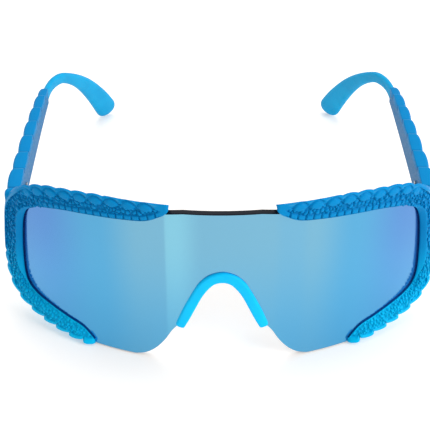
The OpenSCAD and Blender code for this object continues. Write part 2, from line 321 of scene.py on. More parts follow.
def painted_plastic(name, low_color, high_color, low_z, high_z, roughness, groove_shade, grain):
    """Satin paint that fades from low_color at low_z to high_color at high_z. groove_shade is how
    much painted shade darkens the grooves, where the relief value is low; where it is over 1, a
    painted highlight makes the paint paler. grain is the number of surface grains in a millimetre."""
    m, nodes, links, shader = new_material(name)
    position, xyz = object_position(nodes, links)
    height = map_range(nodes, links, xyz["Z"], low_z * MM, high_z * MM)
    paint = mix(nodes, links, "MIX", height, low_color, high_color)
    patches = noise_value(nodes, links, position, PAINT_PATCHES)
    patches = map_range(nodes, links, patches, 0.35, 0.7, 0.0, 0.12)
    paint = mix(nodes, links, "MULTIPLY", patches, paint, PATCH_TINT)
    relief = nodes.new("ShaderNodeAttribute")
    relief.attribute_name = "relief"
    # painted shade: darker where the relief value is low, in the grooves
    depth = map_range(nodes, links, relief.outputs["Fac"], 0.0, 0.75, groove_shade, 0.0)
    paint = mix(nodes, links, "MULTIPLY", depth, paint, GROOVE_SHADE_TINT)
    # painted highlight: paler where the relief value is over 1
    highlight_share = map_range(nodes, links, relief.outputs["Fac"], 1.0, 1.35, 0.0, 0.42)
    paint = mix(nodes, links, "MIX", highlight_share, paint, PAINTED_HIGHLIGHT)
    links.new(paint, shader.inputs["Base Color"])
    grains = noise_value(nodes, links, position, grain, 4.0)
    rough = map_range(nodes, links, grains, 0.3, 0.7, roughness - 0.06, roughness + 0.08)
    links.new(rough, shader.inputs["Roughness"])
    bump(nodes, links, shader, grains, 0.05, 0.5)
    shader.inputs["Specular IOR Level"].default_value = PAINT_SPECULAR
    return m


def soft_rubber(name, color, dark, roughness, grain):
    """Matt rubber in wide patches of color and dark, with fine grain."""
    m, nodes, links, shader = new_material(name)
    position, _ = object_position(nodes, links)
    patches = noise_value(nodes, links, position, RUBBER_PATCHES)
    patches = map_range(nodes, links, patches, 0.3, 0.7)
    links.new(mix(nodes, links, "MIX", patches, color, dark), shader.inputs["Base Color"])
    grains = noise_value(nodes, links, position, grain, 3.0)
    rough = map_range(nodes, links, grains, 0.3, 0.7, roughness - 0.05, roughness + 0.07)
    links.new(rough, shader.inputs["Roughness"])
    bump(nodes, links, shader, grains, 0.03, 0.4)
    shader.inputs["Specular IOR Level"].default_value = RUBBER_SPECULAR
    return m


STEEL_DARK = (0.22, 0.24, 0.27)
STEEL_LIGHT = (0.34, 0.36, 0.39)


def plated_steel(name):
    """Dark nickel-plated steel with small marks."""
    m, nodes, links, shader = new_material(name)
    position, _ = object_position(nodes, links)
    marks = noise_value(nodes, links, position, STEEL_MARKS, 5.0)
    links.new(mix(nodes, links, "MIX", marks, STEEL_DARK, STEEL_LIGHT), shader.inputs["Base Color"])
    links.new(map_range(nodes, links, marks, 0.3, 0.7, 0.22, 0.38), shader.inputs["Roughness"])
    bump(nodes, links, shader, marks, 0.02, 0.4)
    shader.inputs["Metallic"].default_value = 1.0
    return m


COAT_HALF = 70                      # the colour stops run from -70 to 70 mm across the lens
COAT_LOW_Z = 4                      # the low tint fades out between these heights
COAT_HIGH_Z = 52
COAT_TEAL = (0.163, 0.40, 0.565)
# painted reflections: the colours of two pale upright bands on the mirror
COAT_REFLECTION = (0.20, 0.50, 0.65)
COAT_FAINT_REFLECTION = (0.15, 0.395, 0.58)
COAT_AZURE = (0.09, 0.352, 0.60)
COAT_VIOLET = (0.092, 0.25, 0.58)
COAT_LOW = (0.085, 0.415, 0.72)
COAT_LOW_SHARE = 0.6                # of the low tint, at COAT_LOW_Z
COAT_METALLIC = 0.92
COAT_STOPS = [                      # share of the way across, and colour
    (0.0, COAT_VIOLET), (0.08, COAT_VIOLET), (0.22, COAT_AZURE), (0.32, COAT_TEAL),
    (0.37, COAT_TEAL), (0.377, COAT_REFLECTION), (0.395, COAT_REFLECTION), (0.46, COAT_TEAL),
    (0.61, COAT_TEAL), (0.64, COAT_FAINT_REFLECTION), (0.67, COAT_FAINT_REFLECTION), (0.70, COAT_TEAL),
    (0.80, COAT_AZURE), (0.93, COAT_VIOLET), (1.0, COAT_VIOLET),
]


def mirror_coat(name):
    """A blue mirror coating, teal in the middle and violet-blue at the sides, with two pale upright
    bands that are painted reflections.
    """
    m, nodes, links, shader = new_material(name)
    position, xyz = object_position(nodes, links)
    share = map_range(nodes, links, xyz["X"], -COAT_HALF * MM, COAT_HALF * MM)
    share.node.interpolation_type = "LINEAR"
    coat = color_ramp(nodes, links, share, COAT_STOPS)
    low = map_range(nodes, links, xyz["Z"], COAT_LOW_Z * MM, COAT_HIGH_Z * MM,
                    COAT_LOW_SHARE, 0.0)
    coat = mix(nodes, links, "MIX", low, coat, COAT_LOW)
    links.new(coat, shader.inputs["Base Color"])
    shader.inputs["Metallic"].default_value = COAT_METALLIC
    smears = noise_value(nodes, links, position, 0.03, 3.0)
    links.new(map_range(nodes, links, smears, 0.3, 0.7, 0.09, 0.15), shader.inputs["Roughness"])
    bump(nodes, links, shader, noise_value(nodes, links, position, 0.02, 1.0), 0.02, 0.2)
    return m


CLEAR_IOR = 1.58                    # polycarbonate
DULL_IOR = 1.3                      # under the real value, so that the cut edges hardly shine


def smoke_plastic(name, color, roughness, see_through):
    """Tinted polycarbonate: the back of the lens, see-through, and its cut edges, which aren't."""
    m, nodes, links, shader = new_material(name)
    position, _ = object_position(nodes, links)
    cloud = noise_value(nodes, links, position, 0.05, 2.0)
    darker = tuple(c * 0.7 for c in color)
    links.new(mix(nodes, links, "MIX", cloud, color, darker), shader.inputs["Base Color"])
    rough = map_range(nodes, links, cloud, 0.3, 0.7, roughness, roughness + 0.08)
    links.new(rough, shader.inputs["Roughness"])
    bump(nodes, links, shader, cloud, 0.02, 0.2)
    shader.inputs["Transmission Weight"].default_value = see_through
    shader.inputs["IOR"].default_value = CLEAR_IOR if see_through else DULL_IOR
    return m


RIM_PAINT = painted_plastic(
    "rim_paint", low_color=(0.0, 0.49, 0.84), high_color=(0.0, 0.235, 0.56),
    low_z=6, high_z=37, roughness=0.42, groove_shade=0.52, grain=2.2)
# painted shade: the rim's wall beside the lens is made dark navy
RIM_WALL_SHADE = painted_plastic(
    "rim_wall_painted_shade", low_color=(0.0, 0.085, 0.30), high_color=(0.0, 0.06, 0.24),
    low_z=5, high_z=50, roughness=0.4, groove_shade=0.0, grain=2.0)
SCALE_PAINT = painted_plastic(
    "scale_paint", low_color=(0.0, 0.205, 0.50), high_color=(0.0, 0.225, 0.53),
    low_z=38, high_z=51, roughness=0.45, groove_shade=0.75, grain=2.4)
ARM_PAINT = painted_plastic(
    "arm_paint", low_color=(0.0, 0.148, 0.37), high_color=(0.0, 0.175, 0.41),
    low_z=38, high_z=50, roughness=0.4, groove_shade=0.0, grain=1.6)
SADDLE_RUBBER = soft_rubber(
    "saddle_rubber", color=(0.0, 0.57, 1.0), dark=(0.0, 0.51, 0.95), roughness=0.5, grain=1.8)
TIP_RUBBER = soft_rubber(
    "tip_rubber", color=(0.0, 0.36, 0.68), dark=(0.0, 0.32, 0.63), roughness=0.55, grain=1.6)
STEEL = plated_steel("hinge_steel")
MIRROR = mirror_coat("lens_mirror")
SMOKE = smoke_plastic("lens_smoke", (0.035, 0.045, 0.06), roughness=0.08, see_through=0.35)
LENS_EDGE = smoke_plastic("lens_edge", (0.004, 0.006, 0.013), roughness=0.3, see_through=0.0)
LENS_BEVEL = smoke_plastic("lens_bevel", (0.16, 0.12, 0.11), roughness=0.35, see_through=0.0)


# ---------------------------------------------------------------- rims

# Places along the rim run from its upper tip. These are where its features begin and end.
TIP_PLAIN = (2.4, 4.4)              # the plain tip ends
NOTCHES_START = (1.5, 4.0)          # the notched outline between the large scales begins
NOTCHES_END = (47, 54)
CELLS_END = (42, 50)                # the square scales end
CORNER = (46, 56)                   # the large scales give way to small ones
SLOPE_START = (48, 62)              # the front begins to slope towards the lens
STRIP_START = (50, 63)              # the plain strip beside the lens widens
STRIP_END = (84, 96)                # and narrows again
STRIP_SHADE_START = (48, 58)        # the strip is darker between these two
STRIP_SHADE_END = (78, 92)

SCUTE_FIRST = 7.3                   # middle of the first large scale
SCUTE_PITCH = 5.4
SCUTE_COUNT = 9
SCUTE_EDGE = 0.5                    # height of a large scale's upper edge
CREST_HEIGHT = 0.8
CELL_PITCH = 2.55                   # the small square scales beside the lens
CELL_FIRST = 2.2
CELL_HEIGHT = 0.66
LOBE_FIRST = 83.3                   # where the toothed lower edge starts
LOBE_PITCH = 5.2
PEBBLE = 1.35                       # size of the small round scales
FINE_PEBBLE = 1.15                  # and along the lower edge
PEBBLE_HEIGHT = 0.75
FINE_PEBBLE_HEIGHT = 0.8
PEBBLE_REACH = 0.72                 # how far a small scale's dome reaches from its top, in sizes
PEBBLE_SEAM = 0.3                   # width of the slope to the next small scale, in sizes
PEBBLE_SEED = 3.7
FLOOR_DEPTH = 1.1                   # depth of the grooves between the scales
SLOPE_DROP = 2.0                    # fall of the rim's front towards the lens
SLOPE_REACH = 3.4                   # the least width of that slope
SCUTE_STEP = 0.55                   # depth of the outline's notches between the large scales
SCUTE_HALF_LENGTH = 2.62
SCUTE_HALF_WIDTH = 1.75
SCUTE_POINT = 1.35                  # 2 gives an oval, 1 a diamond
SCUTE_MIDDLE = 2.5                  # from the outer edge of the rim
CELL_LEDGE = 0.35                   # width of the plain ledge below the square scales
CELL_TOP = 2.15                     # upper edge of the square scales, from the lens
CELL_SLOPE = (0.06, 0.4)            # where a square scale's side begins and ends
CELL_LEDGE_HEIGHT = 0.8
RIDGE_MIDDLE = 0.55                 # the ridge down the rim's side, from the outer edge
RIDGE_HALF_WIDTH = 0.5
RIDGE_HEIGHT = 0.95
# painted highlight along the ridge
RIDGE_HIGHLIGHT = 1.22
LIP_MIDDLE = 0.6                    # the painted highlight on the lip above each large scale, from the outer edge
LIP_HALF_WIDTH = 0.5
PLAIN_HEIGHT = 0.7                  # the plain strip and the plain tip
STRIP_W = 3.3
LOW_STRIP_W = 0.35
LOBE_CREST = 0.3                    # where a tooth is highest, as a share of its pitch
LOBE_STEP = 1.15                    # depth of the notches of the lower edge
LOBE_DEPTH = 2.2                    # how far a tooth reaches in from the edge
RIM_TOP = RIM_HIGH.z
BACK_DROP = 4.9                     # how much lower the rim's top is at its back


def nearest_scute(along):
    """How far along it is from the middle of the nearest large scale."""
    k = min(SCUTE_COUNT - 1, max(0, round((along - SCUTE_FIRST) / SCUTE_PITCH)))
    return along - SCUTE_FIRST - k * SCUTE_PITCH


def pebbles(along, across, size):
    """Height of irregular round scales, from 0 in the grooves to 1."""
    distances, _ = noise.voronoi(Vector((along / size, across / size, PEBBLE_SEED)))
    crown = math.sqrt(max(0.0, 1 - (distances[0] / PEBBLE_REACH) ** 2))
    return ramp(distances[1] - distances[0], 0.0, PEBBLE_SEAM) * (0.3 + 0.7 * crown)


def cells(along, from_inner):
    """Height of the row of square scales beside the lens, with a plain ledge below them."""
    if from_inner < CELL_LEDGE:
        return CELL_LEDGE_HEIGHT
    u = ((along - CELL_FIRST) / CELL_PITCH) % 1.0
    to_side = min(u, 1 - u) * CELL_PITCH
    to_row = min(from_inner - CELL_LEDGE + 0.12, CELL_TOP - from_inner)
    return ramp(min(to_side, to_row), *CELL_SLOPE)


def lobe(u):
    """Outline of one tooth of the lower edge: a steep rise to its crest, then a slow fall."""
    if u < LOBE_CREST:
        return math.sqrt(max(0.0, 1 - ((LOBE_CREST - u) / LOBE_CREST) ** 2))
    return 1 - ((u - LOBE_CREST) / (1 - LOBE_CREST)) ** 2.2


def lobe_place(along):
    """Place within a tooth, from 0 to 1."""
    return ((along - LOBE_FIRST) / LOBE_PITCH) % 1.0


def edge_inset(along, length):
    """How far the outline lies inside the smooth outline of the rim."""
    top = SCUTE_STEP * min(1.0, (nearest_scute(along) / (SCUTE_PITCH / 2)) ** 2)
    top *= ramp(along, *NOTCHES_START) * (1 - ramp(along, *NOTCHES_END))
    teeth = LOBE_STEP * (1 - lobe(lobe_place(along)))
    teeth *= ramp(along, LOBE_FIRST - 2, LOBE_FIRST + 0.5)
    teeth *= 1 - ramp(along, length - 5, length - 1)
    return top + teeth


def strip_width(along):
    """Width of the plain strip beside the lens."""
    side = STRIP_W * ramp(along, *STRIP_START) * (1 - ramp(along, *STRIP_END))
    return side + LOW_STRIP_W * ramp(along, *STRIP_END)


def lens_slope(along, from_inner, strip):
    """How far the rim's front falls towards the lens, at the side and below."""
    reach = max(strip, SLOPE_REACH)
    return SLOPE_DROP * ramp(along, *SLOPE_START) * max(0.0, 1 - from_inner / reach) ** 1.2


def scute_height(along, from_outer):
    """Height, and value of painted light and shade, of the row of large oval scales with the crest
    above them. The lower half of each is more pointed and has the deeper edge."""
    u = nearest_scute(along)
    v = from_outer - SCUTE_MIDDLE
    power = lerp(2.0, SCUTE_POINT, ramp(v, -0.3, 0.5))
    d = (abs(u / SCUTE_HALF_LENGTH) ** power + abs(v / SCUTE_HALF_WIDTH) ** power) ** (1 / power)
    edge = lerp(SCUTE_EDGE, 0.0, ramp(v, -1.1, 0.1))
    if d < 1:
        crown = lerp(edge, 1.0, ramp(1 - d, -0.02, 0.4)) * (0.6 + 0.4 * math.sqrt(1 - d * d))
        # painted shade at each scale's edge, and a faint painted highlight on its crown
        return crown, 0.4 + 0.62 * ramp(crown, 0.1, 0.8)
    if v > -0.4:
        return 0.0, 0.0
    # painted highlight along the lip at the crest's top, and painted shade at the crest's foot
    lip = ramp(LIP_HALF_WIDTH - abs(from_outer - LIP_MIDDLE), 0.0, 0.4)
    rise = ramp(d, 1.0, 1.3)
    painted_shading = lerp(0.62, 0.98, rise) + 0.2 * lip * ramp(-u, -1.4, 1.0)
    return lerp(edge * 0.6, CREST_HEIGHT, rise), painted_shading


def small_scales(along, across, lower):
    """Height of the small round scales. lower is 1 along the lower edge, where they are finer."""
    coarse = PEBBLE_HEIGHT * pebbles(along, across, PEBBLE)
    fine = FINE_PEBBLE_HEIGHT * pebbles(along, across, FINE_PEBBLE)
    return lerp(coarse, fine, lower)


def rim_height(along, width, across, inset):
    """Relief of the rim's front as a value from 0 to 1, and its value of painted light and shade,
    which is low for painted shade in the grooves and over 1 for a painted highlight."""
    from_inner = width - across
    from_outer = across - inset
    corner = ramp(along, *CORNER)
    lower = ramp(along, LOBE_FIRST - 3, LOBE_FIRST + 1)
    small = small_scales(along, across, lower) * ramp(from_outer, 0.7, 1.2)
    scute, painted_shading = scute_height(along, from_outer)
    height = max(small, scute * (1 - corner))
    # painted shade in the grooves between the small scales
    painted_shading = lerp(painted_shading, 1.0, corner) if scute > small else 0.25 + height
    if from_inner < CELL_TOP + 0.15 and along < CELLS_END[1]:
        square = CELL_HEIGHT * cells(along, from_inner)
        height = lerp(square, height, ramp(along, *CELLS_END))
        # painted shade in the slits between the square scales
        painted_shading = 0.25 + height
    ridge = ramp(RIDGE_HALF_WIDTH - abs(from_outer - RIDGE_MIDDLE), 0.0, 0.3)
    ridge *= corner * (1 - lower)
    height = max(height, RIDGE_HEIGHT * ridge)
    painted_shading = max(painted_shading, RIDGE_HIGHLIGHT * ridge)
    if lower > 0:
        u = lobe_place(along)
        tooth = (1.0 - 0.5 * u) * ramp(u, 0.0, 0.1) * ramp(LOBE_DEPTH - from_outer, 0.0, 0.4)
        near_edge = lower * ramp(LOBE_DEPTH - from_outer, -0.2, 0.2)
        height = lerp(height, tooth, near_edge)
        # painted highlight on each tooth, falling to painted shade in the notch
        painted_shading = lerp(painted_shading, tooth * 1.15, near_edge)
    plain = ramp(strip_width(along) - from_inner, -0.1, 0.25)
    plain = max(plain, 1 - ramp(along, *TIP_PLAIN))
    # painted shade darkens the plain strip between STRIP_SHADE_START and STRIP_SHADE_END
    plain_shading = 1 - 0.4 * ramp(along, *STRIP_SHADE_START) * (1 - ramp(along, *STRIP_SHADE_END))
    return lerp(height, PLAIN_HEIGHT, plain), lerp(painted_shading, plain_shading, plain)


FRONT_STEPS = 42                    # points across the rim's front
STATION = 0.26                      # spacing of the sections along it
WALL_RADII = (101.0, 100.4, 99.0, 97.2, 96.6)
BACK_PLACES = (0.985, 0.9, 0.76, 0.65)
EDGE_PLACES = (0.02, 0.12, 0.3, 0.5, 0.7, 0.86, 0.95)
EDGE_BULGE = 0.35
EDGE_START = 0.62                   # where the outer edge's curve leaves the back, across the rim
DEEPEST = 2.5                       # the most that the front falls below RIM_R
END_ROUND = 1.2                     # rounding of the front at the rim's two ends
END_SHARE = 0.8
OUTER_ROUND = 0.7                   # rounding of the front along the outer edge
LENS_SIDE_ROUND = 0.4               # and along the lens
MOST_INSET = 0.3                    # of the outline, as a share of the rim's width
BACK_SHADING = 0.9                     # the relief value of the wall, the back and the temple stub: neither painted shade nor highlight
EDGE_SHADING = 0.85
SEAM_MARGIN = 0.4                   # the rim stops at the seam this far round the temple's end


def front_profile(width, along, length, inset):
    """The rim's front as (place across, radius, painted shading), from its outer edge to the lens.
    """
    end_drop = quarter_round(min(along, length - along), END_ROUND) * END_SHARE
    strip = strip_width(along)
    line = []
    for k in range(FRONT_STEPS + 1):
        t = lerp(inset / width, 1.0, k / FRONT_STEPS)
        across = t * width
        value, painted_shading = rim_height(along, width, across, inset)
        fall = FLOOR_DEPTH * (1 - value) + end_drop + lens_slope(along, width - across, strip)
        edges = quarter_round(across - inset, OUTER_ROUND)
        edges += quarter_round(width - across, LENS_SIDE_ROUND)
        line.append((t, RIM_R - min(fall + edges, DEEPEST), painted_shading))
    return line


def rim_profile(width, along, length, inset):
    """The whole section: the front, the wall beside the lens, the back and the outer edge."""
    line = front_profile(width, along, length, inset)
    start = line[0][1]
    for radius in WALL_RADII:
        line.append((1.0, min(radius, line[FRONT_STEPS][1]), BACK_SHADING))
    for t in BACK_PLACES:
        line.append((t, RIM_BACK_R + 0.02, BACK_SHADING))
    for share in EDGE_PLACES:
        t = lerp(EDGE_START, inset / width, share)
        bulge = EDGE_BULGE * math.sin(math.pi * share)
        line.append((t, lerp(RIM_BACK_R + 0.2, start - 0.1, share) + bulge, EDGE_SHADING))
    return line


def rim_point(outer, inner, t, radius):
    """A point of the rim, kept under the sloping top and in front of the temple's seam."""
    p = wrap(outer.lerp(inner, t), radius)
    p.z = min(p.z, RIM_TOP - BACK_DROP * (RIM_R - radius) / (RIM_R - RIM_BACK_R))
    if p.x > ARM_IN - SEAM_MARGIN and COVER_LOW.z < p.z < COVER_HIGH.z + SEAM_MARGIN:
        p.y = min(p.y, SEAM_Y - SEAM_GAP)
    return p


def rim_shell():
    """The rim, with its relief on the front. The wall beside the lens has its own dark material,
    which is painted shade.
    """
    stops = stations(RIM_PAIRS, STATION)
    length = stops[-1][3]
    rings = []
    relief = []
    for outer, inner, width, along in stops:
        inset = min(edge_inset(along, length), MOST_INSET * width)
        line = rim_profile(width, along, length, inset)
        rings.append([rim_point(outer, inner, t, radius) for t, radius, painted_shading in line])
        relief.append([painted_shading for t, radius, painted_shading in line])
    # the wall's faces take the dark painted-shade material
    wall = range(FRONT_STEPS, FRONT_STEPS + len(WALL_RADII) + 1)
    material = [1 if k in wall else 0 for k in range(len(rings[0]))]
    shell = Shell()
    shell.tube(rings, relief, material)
    add_stub(shell)
    return shell


# ---------------------------------------------------------------- temples

SCALES = 7
SCALE_PITCH = 11.3
SCALE_STEP = 0.8                    # how far each scale stands out over the next
ARM_HIGH_Z = 50.2
ARM_BOTTOM_Z = 39.6
END_DROP = 1.6                      # how much lower the bottom is at the temple's end
ARM_DROP = [0, 0, 0.7, 1, 2, 3, 4.6, 6.5]   # of the top, at the start of each scale and the end
ARM_W = 4.0
ARM_END_W = 2.4
CORE_W = 2.3                        # the part of that width that is the arm's
CORE_END_W = 1.7
CAP_T = 1.6                         # thickness of the cover over the arm's top
TOP_ROUND = 1.15
LOW_ROUND = 0.5
INNER_ROUND = 0.3
SWELL_END = 0.62                    # where a scale's outer face is fullest, as a share of it
TOP_END = 0.9                       # and its top
COVER_BULGE = 0.12                  # how far the outside stands out between its rounded edges
OVERHANG = 0.12                     # of the cover over the arm's inner face
OVERHANG_SWELL = 0.2
SCALE_SAMPLES = [                   # where the sections are, along each scale
    0.0, 0.03, 0.12, 0.25, 0.38, 0.5, 0.62, 0.7, 0.78, 0.85, 0.9, 0.93, 0.96, 0.985, 1.0,
]
STUB_LENGTH = 5.0                   # the end of the temple that is part of the rim
STUB_START_W = 1.5
STUB_START_DROP = 2.5
STUB_SAMPLES = [0.0, 0.25, 0.5, 0.7, 0.82, 0.9, 0.96, 1.0]


def outer_swell(u):
    """How far the outer face of a scale stands out, along it: rounded off at its free end."""
    if u < SWELL_END:
        return 0.25 + 0.75 * math.sin(math.pi / 2 * u / SWELL_END)
    past = (u - SWELL_END) / (1 - SWELL_END)
    return 1 - 1.25 * (1 - math.sqrt(max(0.0, 1 - past ** 2)))


def top_swell(u):
    """How far the top of a scale rises, along it: slowly up, then rounded off."""
    if u < TOP_END:
        return u / TOP_END
    past = (u - TOP_END) / (1 - TOP_END)
    return 1 - 0.55 * (1 - math.sqrt(max(0.0, 1 - past ** 2)))


def arc(center, radius, start, end, steps):
    """Points of an arc in a cross-section, with angles in degrees."""
    return [(center[0] + radius * math.cos(math.radians(lerp(start, end, k / steps))),
             center[1] + radius * math.sin(math.radians(lerp(start, end, k / steps))))
            for k in range(steps + 1)]


def cover_section(top, base, bottom, width, core, overhang, y):
    """The L-shaped section of a scale cover: over the top of the arm and down its outside."""
    right = ARM_IN + width
    full = right + COVER_BULGE
    line = arc((ARM_IN - overhang + INNER_ROUND, top - INNER_ROUND), INNER_ROUND, 180, 90, 3)
    line += [(ARM_IN + 0.5 * width, top)]
    line += arc((right - TOP_ROUND, top - TOP_ROUND), TOP_ROUND, 90, 0, 6)
    line += [(full, lerp(top, bottom, 0.35)), (full, lerp(top, bottom, 0.7))]
    line += arc((right - LOW_ROUND, bottom + LOW_ROUND), LOW_ROUND, 0, -90, 3)
    line += [(ARM_IN + core, bottom), (ARM_IN + core, base - CAP_T)]
    line += [(ARM_IN - overhang, base - CAP_T)]
    return [Vector((x, y, z)) for x, z in line]


def scale_start(i):
    """Where scale i starts along the temple. The last one ends where the next would start."""
    if i == 0:
        return SEAM_Y
    if i == SCALES:
        return ARM_END_Y
    return SEAM_Y - SEAM_GAP / 2 + i * SCALE_PITCH


def scale_cover_shell():
    """The row of overlapping scales along a temple. The start of each is darker, painted shade
    under the scale before it, and its free end has a faint painted highlight.
    """
    rings = []
    relief = []
    for i in range(SCALES):
        y_from = scale_start(i)
        y_to = scale_start(i + 1)
        for u in SCALE_SAMPLES:
            share = (i + u) / SCALES
            drop = lerp(ARM_DROP[i], ARM_DROP[i + 1], u)
            top = ARM_HIGH_Z - drop + SCALE_STEP * top_swell(u)
            bottom = ARM_BOTTOM_Z - END_DROP * share ** 3
            width = lerp(ARM_W, ARM_END_W, share) + SCALE_STEP * outer_swell(u) - COVER_BULGE
            core = lerp(CORE_W, CORE_END_W, share)
            overhang = OVERHANG + OVERHANG_SWELL * outer_swell(u)
            section = cover_section(top, ARM_HIGH_Z - drop, bottom, width, core, overhang,
                                    lerp(y_from, y_to, u))
            rings.append(section)
            # painted shade at the start of each scale, and a faint painted highlight at its free
            # end
            painted_shading = lerp(0.0, 1.0, ramp(u, 0.0, 0.2)) + 0.14 * ramp(u, 0.86, 0.96)
            relief.append([painted_shading] * len(section))
    shell = Shell()
    shell.tube(rings, relief)
    return shell


def add_stub(shell):
    """The end of the temple that is part of the rim, as one more scale."""
    rings = []
    relief = []
    y_to = SEAM_Y - SEAM_GAP
    for share in STUB_SAMPLES:
        y = lerp(y_to - STUB_LENGTH, y_to, share)
        u = 0.6 + 0.4 * share
        grow = ramp(share, 0.0, 0.6)
        right = ARM_IN + lerp(STUB_START_W, ARM_W + SCALE_STEP * outer_swell(u), grow)
        top = lerp(ARM_HIGH_Z - STUB_START_DROP, ARM_HIGH_Z + SCALE_STEP * top_swell(u), grow)
        line = arc((ARM_IN + INNER_ROUND, top - INNER_ROUND), INNER_ROUND, 180, 90, 3)
        line += arc((right - TOP_ROUND, top - TOP_ROUND), TOP_ROUND, 90, 0, 6)
        line += arc((right - LOW_ROUND, ARM_BOTTOM_Z + LOW_ROUND), LOW_ROUND, 0, -90, 3)
        line += arc((ARM_IN + INNER_ROUND, ARM_BOTTOM_Z + INNER_ROUND), INNER_ROUND, 270, 180, 2)
        rings.append([Vector((x, y, z)) for x, z in line])
        relief.append([BACK_SHADING] * len(line))
    shell.tube(rings, relief)


# The ear tip's path, with Y from the end of the scale cover
TIP_POINTS = [
    (67.3, 0, 40.4), (66.7, 7, 40.2), (65.3, 14, 39.3), (62.9, 21, 37.2), (59.2, 29.8, 31.4),
    (55.8, 38, 23.9), (52.4, 46.2, 14.1), (49.8, 52.6, 5.05), (48.6, 55.2, 0.75),
]
TIP_TURN = math.radians(30)         # how far the section turns about the path
TIP_ROUND = 5.6                     # length of the rounding at the end
TIP_HALF_W = (2.1, 4.7)             # half the section's width, at the start and at the end
TIP_HALF_T = (1.2, 1.9)             # half its thickness
TIP_COLLAR = 0.5                    # extra half width where the tip meets the scales
TIP_STEPS = 9                       # sections between two points of the path
TIP_AROUND = 40
OVAL_POWER = 0.75                   # 1 gives an ellipse, and less gives fuller corners


def tip_path():
    """The middles of the sections, and how far each is from the end."""
    points = [Vector((x, y + ARM_END_Y, z)) for x, y, z in TIP_POINTS]
    path = [spline(points, i, k / TIP_STEPS)
            for i in range(len(points) - 1) for k in range(TIP_STEPS)]
    path.append(points[-1])
    lengths = [0.0]
    for i in range(len(path) - 1):
        lengths.append(lengths[-1] + (path[i + 1] - path[i]).length)
    return path, [lengths[-1] - length for length in lengths]


def full_oval(center, flat, wide, half_t, half_w):
    """An oval ring of points, with fuller corners than an ellipse."""
    ring = []
    for k in range(TIP_AROUND):
        a = 2 * math.pi * k / TIP_AROUND
        c = math.copysign(abs(math.cos(a)) ** OVAL_POWER, math.cos(a))
        s = math.copysign(abs(math.sin(a)) ** OVAL_POWER, math.sin(a))
        ring.append(center + flat * c * half_t + wide * s * half_w)
    return ring


def tip_shell():
    """The ear tip: an oval section swept along the path that bends down and in."""
    path, to_end = tip_path()
    last = len(path) - 1
    rings = []
    for i, center in enumerate(path):
        t = i / last
        direction = (path[min(last, i + 1)] - path[max(0, i - 1)]).normalized()
        aside = direction.cross(Vector((0, 0, 1))).normalized()
        upward = aside.cross(direction)
        turn = TIP_TURN * ramp(t, 0.25, 0.85)
        flat = aside * math.cos(turn) + upward * math.sin(turn)
        wide = upward * math.cos(turn) - aside * math.sin(turn)
        end = 1.0
        if to_end[i] <= TIP_ROUND:
            end = math.sqrt(max(0.004, 1 - (1 - to_end[i] / TIP_ROUND) ** 2))
        half_w = lerp(*TIP_HALF_W, ramp(t, 0.36, 0.9)) * end
        half_w += TIP_COLLAR * (1 - ramp(t, 0.0, 0.14))
        half_t = lerp(*TIP_HALF_T, ramp(t, 0.0, 0.8)) * end
        rings.append(full_oval(center, flat, wide, half_t, half_w))
    shell = Shell()
    shell.tube(rings)
    return shell


# ---------------------------------------------------------------- nose saddle

SADDLE_FRONT_R = 101.0
SADDLE_BACK_R = 96.2
PAD_BACK_R = 88.0
SADDLE_ROUND = 0.75                 # rounding of its edges
SADDLE_END = 0.9                    # and of its ends
PAD_PAIRS = 4                       # the pads run along this many pairs from the saddle's foot
PAD_OUTER = 0.45                    # the pads' outer side, as a share of the saddle's width
PAD_OVERLAP = 1.2                   # how far they reach into the saddle
PAD_ROUND = 0.7
PAD_END = 2.0
BAND_STATION = 0.5                  # spacing of the sections along both


def left_pairs(pairs):
    return [[Vector(o), Vector(i)] for o, i in pairs]


def right_pairs(pairs):
    """The same pairs on the other side of the middle."""
    return [[Vector((-o.x, o.y)), Vector((-i.x, i.y))] for o, i in left_pairs(pairs)]


def rounded_section(outer, inner, width, t_low, t_high, r_low, r_high, radius, shrink):
    """A rounded rectangle across a band, drawn in towards its middle by shrink."""
    a_low = t_low * width
    a_high = t_high * width
    line = arc((a_high - radius, r_high - radius), radius, 90, 0, 5)
    line += arc((a_high - radius, r_low + radius), radius, 0, -90, 5)
    line += arc((a_low + radius, r_low + radius), radius, 270, 180, 5)
    line += arc((a_low + radius, r_high - radius), radius, 180, 90, 5)
    middle_a = (a_low + a_high) / 2
    middle_r = (r_low + r_high) / 2
    ring = []
    for a, r in line:
        a = middle_a + (a - middle_a) * shrink
        r = middle_r + (r - middle_r) * (0.6 + 0.4 * shrink)
        ring.append(wrap(outer.lerp(inner, a / width), r))
    return ring


def band(shell, pairs, t_low, t_high, r_low, r_high, radius, end_round):
    """A rounded bar along pairs, between two places across them and two radii."""
    stops = stations(pairs, BAND_STATION)
    length = stops[-1][3]
    rings = []
    for outer, inner, width, along in stops:
        to_end = min(along, length - along)
        shrink = 1 - quarter_round(to_end, end_round) / end_round * 0.75
        rings.append(rounded_section(outer, inner, width, t_low, t_high, r_low, r_high, radius,
                                     shrink))
    shell.tube(rings)


def saddle_shell():
    """The bar round the lens's notch, and a pad behind each of its legs."""
    shell = Shell()
    bar = left_pairs(SADDLE_PAIRS) + list(reversed(right_pairs(SADDLE_PAIRS[:-1])))
    band(shell, bar, 0.0, 1.0, SADDLE_BACK_R, SADDLE_FRONT_R, SADDLE_ROUND, SADDLE_END)
    for pairs in (left_pairs(SADDLE_PAIRS[:PAD_PAIRS]), right_pairs(SADDLE_PAIRS[:PAD_PAIRS])):
        band(shell, pairs, PAD_OUTER, 1.0, PAD_BACK_R, SADDLE_BACK_R + PAD_OVERLAP, PAD_ROUND,
             PAD_END)
    return shell


# ---------------------------------------------------------------- lens

